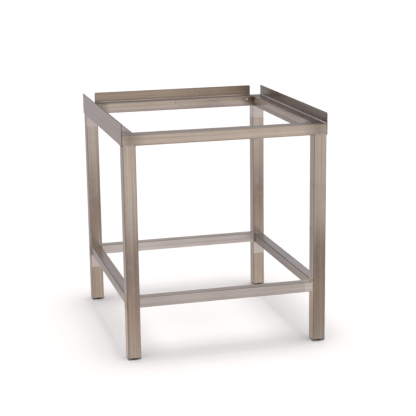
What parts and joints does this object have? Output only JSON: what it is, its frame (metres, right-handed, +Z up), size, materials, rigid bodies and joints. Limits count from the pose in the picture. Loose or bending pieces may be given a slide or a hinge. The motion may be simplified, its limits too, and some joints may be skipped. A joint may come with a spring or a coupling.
{
  "type": "appliance floor stand",
  "caption": "Open square-tube stainless steel floor stand with a flat ledge, upstand plates on the left, right and back, an open front and a lower bracing frame.",
  "frame": {"origin": "middle of the stand's footprint, on the floor", "axes": "+Z up, -Y the open front, +X to the right seen from the front"},
  "size_m": [0.6, 0.64, 0.685],
  "materials": {
    "brushed_tube": "satin stainless tube, grain along its length, welds dressed smooth",
    "upstand_sheet": "satin stainless sheet, grain along its length",
    "screw_steel": "bright stainless button head screw",
    "nut_steel": "stainless clinch nut, dressed flush with the sheet",
    "foot_plastic": "black moulded polyethylene, slightly scuffed"
  },
  "bodies": {
    "root": {"front_left_leg": "brushed_tube", "front_right_leg": "brushed_tube", "back_left_leg": "brushed_tube", "back_right_leg": "brushed_tube", "front_left_foot": "foot_plastic", "front_right_foot": "foot_plastic", "back_left_foot": "foot_plastic", "back_right_foot": "foot_plastic", "front_top_rail": "brushed_tube", "back_top_rail": "brushed_tube", "left_top_rail": "brushed_tube", "right_top_rail": "brushed_tube", "front_low_rail": "brushed_tube", "back_low_rail": "brushed_tube", "left_low_rail": "brushed_tube", "right_low_rail": "brushed_tube", "left_upstand": "upstand_sheet", "right_upstand": "upstand_sheet", "back_upstand": "upstand_sheet", "left_upstand_screws": "screw_steel", "right_upstand_screws": "screw_steel", "back_upstand_screws": "screw_steel", "left_clinch_nuts": "nut_steel", "right_clinch_nuts": "nut_steel", "back_clinch_nuts": "nut_steel"}
  },
  "joints": []
}
